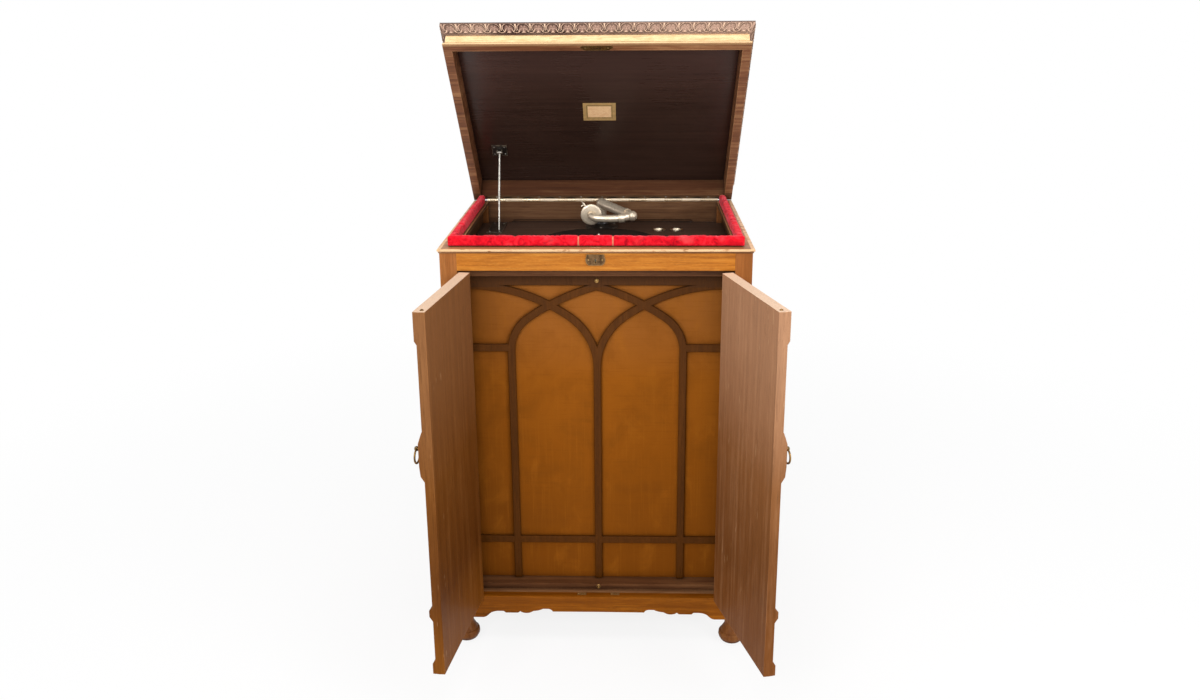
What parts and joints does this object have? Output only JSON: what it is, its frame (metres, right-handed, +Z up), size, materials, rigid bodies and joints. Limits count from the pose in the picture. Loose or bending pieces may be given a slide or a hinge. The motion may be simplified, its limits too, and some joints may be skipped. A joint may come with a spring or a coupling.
{
  "type": "gramophone cabinet",
  "caption": "Floor-standing gramophone cabinet with a stay-held hinged lid, turntable well with folding tone arm, paired front doors, arched tracery grille and a folded wooden horn.",
  "frame": {"origin": "Middle of the footprint of the whole object as posed (lid open, doors open), on the floor.", "axes": "+X to the right seen from the front, +Y from front to back, +Z up."},
  "size_m": [0.7786, 0.941, 1.4888],
  "materials": {
    "oak": "polished, medium brown",
    "oak_light": "polished, golden",
    "oak_dark": "polished, dark brown",
    "oak_inside": "satin",
    "lid_wood": "high polish, very dark inside face",
    "carved_oak": "carved, satin",
    "plywood": "bare, matt",
    "speaker_cloth": "woven cloth",
    "velvet": "velvet pile",
    "brass": "aged",
    "nickel": "warm nickel plate",
    "steel": "plain",
    "black_iron": "black enamel",
    "felt": "felt"
  },
  "bodies": {
    "cabinet": {"leg_front_left": "oak", "leg_back_left": "oak", "leg_front_right": "oak", "leg_back_right": "oak", "bottom_board": "oak_inside", "back_panel": "plywood", "side_panel_left": "oak", "side_panel_right": "oak", "front_rail": "oak_light", "escutcheon": "brass", "apron": "oak", "door_stop_riser": "oak_dark", "door_stop_head": "oak_dark", "case_top_moulding": "oak_light", "case_back_rail": "oak", "motor_board": "oak_inside", "needle_cup_1": "nickel", "needle_cup_2": "nickel", "stay_guide_plate": "black_iron", "grille_tracery": "oak_dark", "grille_cloth": "speaker_cloth", "horn": "plywood", "velvet_strip_left": "velvet", "velvet_strip_right": "velvet", "velvet_strip_front_left": "velvet", "velvet_strip_front_centre": "velvet", "velvet_strip_front_right": "velvet", "lid_hinge_case_leaf": "nickel", "case_left_hinge_leaf": "brass", "case_right_hinge_leaf": "brass", "motor_frame": "black_iron", "tonearm_base": "black_iron"},
    "lid": {"lid_frame": "oak", "lid_frieze": "carved_oak", "lid_top": "lid_wood", "lid_hinge_lid_leaf": "nickel", "lid_keeper": "brass", "stay_bracket": "black_iron"},
    "stay": {"stay_rod": "nickel"},
    "left_door": {"door_left": "oak", "door_left_hinge_leaf": "brass", "pull_plate_left": "brass"},
    "right_door": {"door_right": "oak", "door_right_hinge_leaf": "brass", "pull_plate_right": "brass"},
    "left_pull": {"pull_ring_left": "brass"},
    "right_pull": {"pull_ring_right": "brass"},
    "left_catch": {"door_catch_left": "brass"},
    "right_catch": {"door_catch_right": "brass"},
    "turntable": {"turntable_platter": "nickel", "turntable_mat": "felt", "turntable_spindle": "steel"},
    "barrel": {"spring_barrel": "steel"},
    "shaft": {"winding_shaft": "steel"},
    "governor": {"governor": "brass"},
    "tonearm": {"tonearm_tube": "nickel"},
    "neck": {"gooseneck": "nickel", "sound_box": "nickel"},
    "brake": {"brake_lever": "nickel"},
    "bolt": {"lock_bolt": "steel"}
  },
  "joints": [
    {"name": "lid_hinge", "type": "hinge", "parent": "cabinet", "child": "lid", "pos_m": [-0.01971, 0.4212, 1.0065], "axis": [1, 0, 0], "range_deg": [0, 48.27]},
    {"name": "stay_pivot", "type": "hinge", "parent": "lid", "child": "stay", "pos_m": [-0.29171, 0.3591, 1.14674], "axis": [1, 0, 0], "range_deg": [-20, 0]},
    {"name": "left_door_hinge", "type": "hinge", "parent": "cabinet", "child": "left_door", "pos_m": [-0.33071, -0.1608, 0], "axis": [0, 0, 1], "range_deg": [-72, 98.08]},
    {"name": "right_door_hinge", "type": "hinge", "parent": "cabinet", "child": "right_door", "pos_m": [0.29129, -0.1608, 0], "axis": [0, 0, 1], "range_deg": [-106.17, 64]},
    {"name": "left_pull_swing", "type": "hinge", "parent": "left_door", "child": "left_pull", "pos_m": [-0.38393, -0.43605, 0.6477], "axis": [-0.1406, -0.9901, 0], "range_deg": [-100, 15]},
    {"name": "right_pull_swing", "type": "hinge", "parent": "right_door", "child": "right_pull", "pos_m": [0.38271, -0.42582, 0.6477], "axis": [-0.2785, 0.9604, 0], "range_deg": [-100, 15]},
    {"name": "left_catch_press", "type": "slide", "parent": "left_door", "child": "left_catch", "axis": [0, 0, 1], "range_m": [-0.0027, 0], "stiffness_N_per_m": 600},
    {"name": "right_catch_press", "type": "slide", "parent": "right_door", "child": "right_catch", "axis": [0, 0, 1], "range_m": [-0.0027, 0], "stiffness_N_per_m": 600},
    {"name": "turntable_spin", "type": "hinge", "parent": "cabinet", "child": "turntable", "pos_m": [-0.01971, 0.0912, 0], "axis": [0, 0, 1], "continuous": true},
    {"name": "barrel_turn", "type": "hinge", "parent": "cabinet", "child": "barrel", "pos_m": [-0.01971, 0.0442, 0.88], "axis": [1, 0, 0], "continuous": true},
    {"name": "winding_shaft_turn", "type": "hinge", "parent": "cabinet", "child": "shaft", "pos_m": [-0.01971, 0.0442, 0.88], "axis": [1, 0, 0], "continuous": true},
    {"name": "governor_spin", "type": "hinge", "parent": "cabinet", "child": "governor", "pos_m": [-0.01971, 0.1342, 0.88], "axis": [1, 0, 0], "continuous": true},
    {"name": "tonearm_swing", "type": "hinge", "parent": "cabinet", "child": "tonearm", "pos_m": [-0.01971, 0.3362, 0], "axis": [0, 0, 1], "range_deg": [-22.6, 10]},
    {"name": "gooseneck_turn", "type": "hinge", "parent": "tonearm", "child": "neck", "pos_m": [0.06208, 0.21447, 1.004], "axis": [0.4702, 0.8825, 0], "range_deg": [0, 180]},
    {"name": "brake_swing", "type": "hinge", "parent": "cabinet", "child": "brake", "pos_m": [0.16529, -0.0058, 0], "axis": [0, 0, 1], "range_deg": [-5.5, 12]},
    {"name": "lock_bolt_slide", "type": "slide", "parent": "cabinet", "child": "bolt", "axis": [0, 0, 1], "range_m": [0, 0.008]}
  ],
  "couplings": [
    {"joint": "stay_pivot", "follows": "lid_hinge", "ratio": -0.412},
    {"joint": "barrel_turn", "follows": "turntable_spin", "ratio": -0.0333},
    {"joint": "governor_spin", "follows": "turntable_spin", "ratio": 10}
  ]
}
